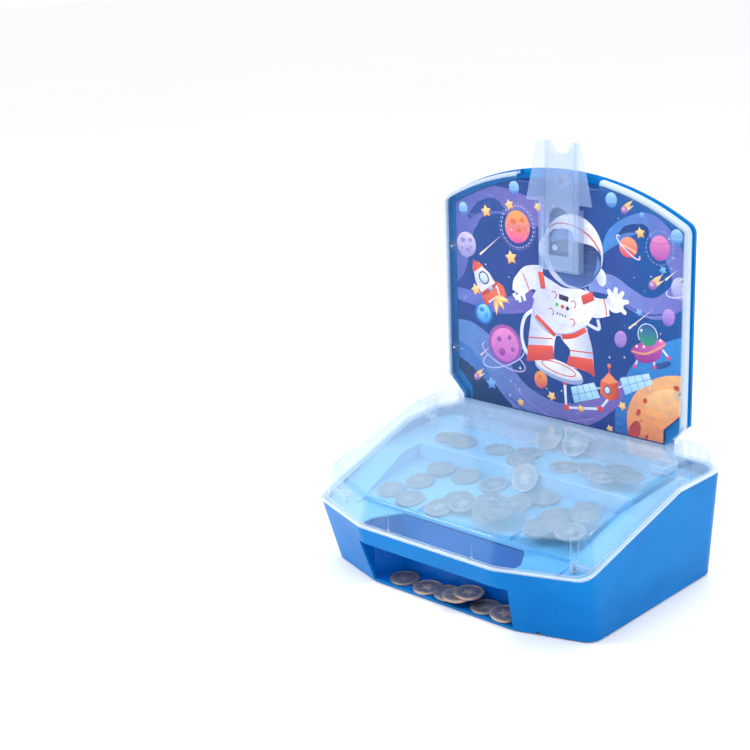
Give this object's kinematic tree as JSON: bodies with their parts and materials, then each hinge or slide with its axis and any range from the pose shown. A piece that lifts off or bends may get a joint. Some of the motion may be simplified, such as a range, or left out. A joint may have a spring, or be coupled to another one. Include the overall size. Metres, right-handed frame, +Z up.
{
  "type": "coin pusher machine",
  "caption": "Tabletop coin pusher toy with a clear cover, upright playfield board, swinging coin chute and a motor-driven sliding shelf.",
  "frame": {"origin": "on the ground under the centre of the machine's bounding box", "axes": "+Z up and the longest extent, +X to the player's right, -Y towards the player, so +Y is the shortest extent"},
  "size_m": [0.2796, 0.207, 0.3377],
  "materials": {
    "blue_plastic": "glossy injection-moulded polystyrene",
    "dark_blue_plastic": "satin moulded plastic",
    "bin_blue": "glossy deep blue moulded plastic",
    "tray_blue": "semi-gloss light blue moulded plastic",
    "white_plastic": "natural acetal",
    "grey_plastic": "satin grey plastic",
    "black_plastic": "fine-textured black plastic",
    "clear_plastic": "clear injection-moulded polystyrene, slightly blue",
    "chute_plastic": "frosted clear moulded plastic",
    "scraper_plastic": "frosted grey-blue plastic",
    "printed_card": "satin printed card",
    "coin_nickel": "struck nickel-plated steel",
    "coin_bronze": "darker struck token with a warm rim",
    "steel": "zinc-plated steel",
    "motor_steel": "drawn and plated steel",
    "brass": "turned brass",
    "cell_wrap": "printed cell sleeve, plain",
    "rubber": "matte rubber",
    "red_insulation": "soft insulation",
    "black_insulation": "soft insulation"
  },
  "bodies": {
    "machine": {"art_card": "printed_card", "back_shell": "blue_plastic", "base_plate": "dark_blue_plastic", "base_screws": "steel", "batteries": "cell_wrap", "battery_box": "dark_blue_plastic", "battery_contacts": "steel", "black_lead": "black_insulation", "board_screws": "steel", "clear_cover": "clear_plastic", "cover_screws": "steel", "front_window": "clear_plastic", "gear_pins": "steel", "gearbox_high": "grey_plastic", "gearbox_low": "grey_plastic", "gearbox_screws": "steel", "guide_rails": "white_plastic", "housing": "blue_plastic", "motor_can": "motor_steel", "motor_cap": "white_plastic", "payout_bin": "bin_blue", "payout_coins": "coin_bronze", "playfield_tray": "tray_blue", "ramp_coins": "coin_nickel", "red_lead": "red_insulation", "rubber_feet": "rubber", "scraper": "scraper_plastic", "switch_body": "black_plastic", "tray_screws": "steel"},
    "pusher": {"pusher_shelf": "tray_blue", "pusher_yoke": "white_plastic", "shelf_coins": "coin_nickel", "deck_coins": "coin_nickel", "leaning_coin": "coin_nickel"},
    "crank": {"crank_gear": "white_plastic"},
    "second_stage": {"second_gear": "white_plastic"},
    "first_stage": {"first_gear": "white_plastic"},
    "rotor": {"motor_pinion": "brass", "motor_rotor": "motor_steel"},
    "chute": {"coin_chute": "chute_plastic", "chute_pivot": "steel"},
    "door": {"battery_door": "blue_plastic", "door_screw": "steel"},
    "knob": {"switch_knob": "black_plastic"}
  },
  "joints": [
    {"name": "pusher_slide", "type": "slide", "parent": "machine", "child": "pusher", "axis": [0, -1, 0], "range_m": [0, 0.012]},
    {"name": "crank_spin", "type": "hinge", "parent": "machine", "child": "crank", "pos_m": [0, 0.056, 0.04], "axis": [0, 0, 1], "continuous": true},
    {"name": "second_spin", "type": "hinge", "parent": "machine", "child": "second_stage", "pos_m": [0.024, 0.056, 0.04], "axis": [0, 0, 1], "continuous": true},
    {"name": "first_spin", "type": "hinge", "parent": "machine", "child": "first_stage", "pos_m": [0.03932, 0.04314, 0.04], "axis": [0, 0, 1], "continuous": true},
    {"name": "motor_spin", "type": "hinge", "parent": "machine", "child": "rotor", "pos_m": [0.04616, 0.06194, 0.04], "axis": [0, 0, 1], "continuous": true},
    {"name": "chute_swing", "type": "hinge", "parent": "machine", "child": "chute", "pos_m": [0, 0.0777, 0.306], "axis": [0, 1, 0], "range_deg": [-30, 30]},
    {"name": "door_slide", "type": "slide", "parent": "machine", "child": "door", "axis": [0, 1, 0], "range_m": [0, 0.02]},
    {"name": "knob_slide", "type": "slide", "parent": "machine", "child": "knob", "axis": [1, 0, 0], "range_m": [0, 0.004]}
  ],
  "couplings": [
    {"joint": "second_spin", "follows": "crank_spin", "ratio": -5},
    {"joint": "first_spin", "follows": "crank_spin", "ratio": 20},
    {"joint": "motor_spin", "follows": "crank_spin", "ratio": -80}
  ]
}
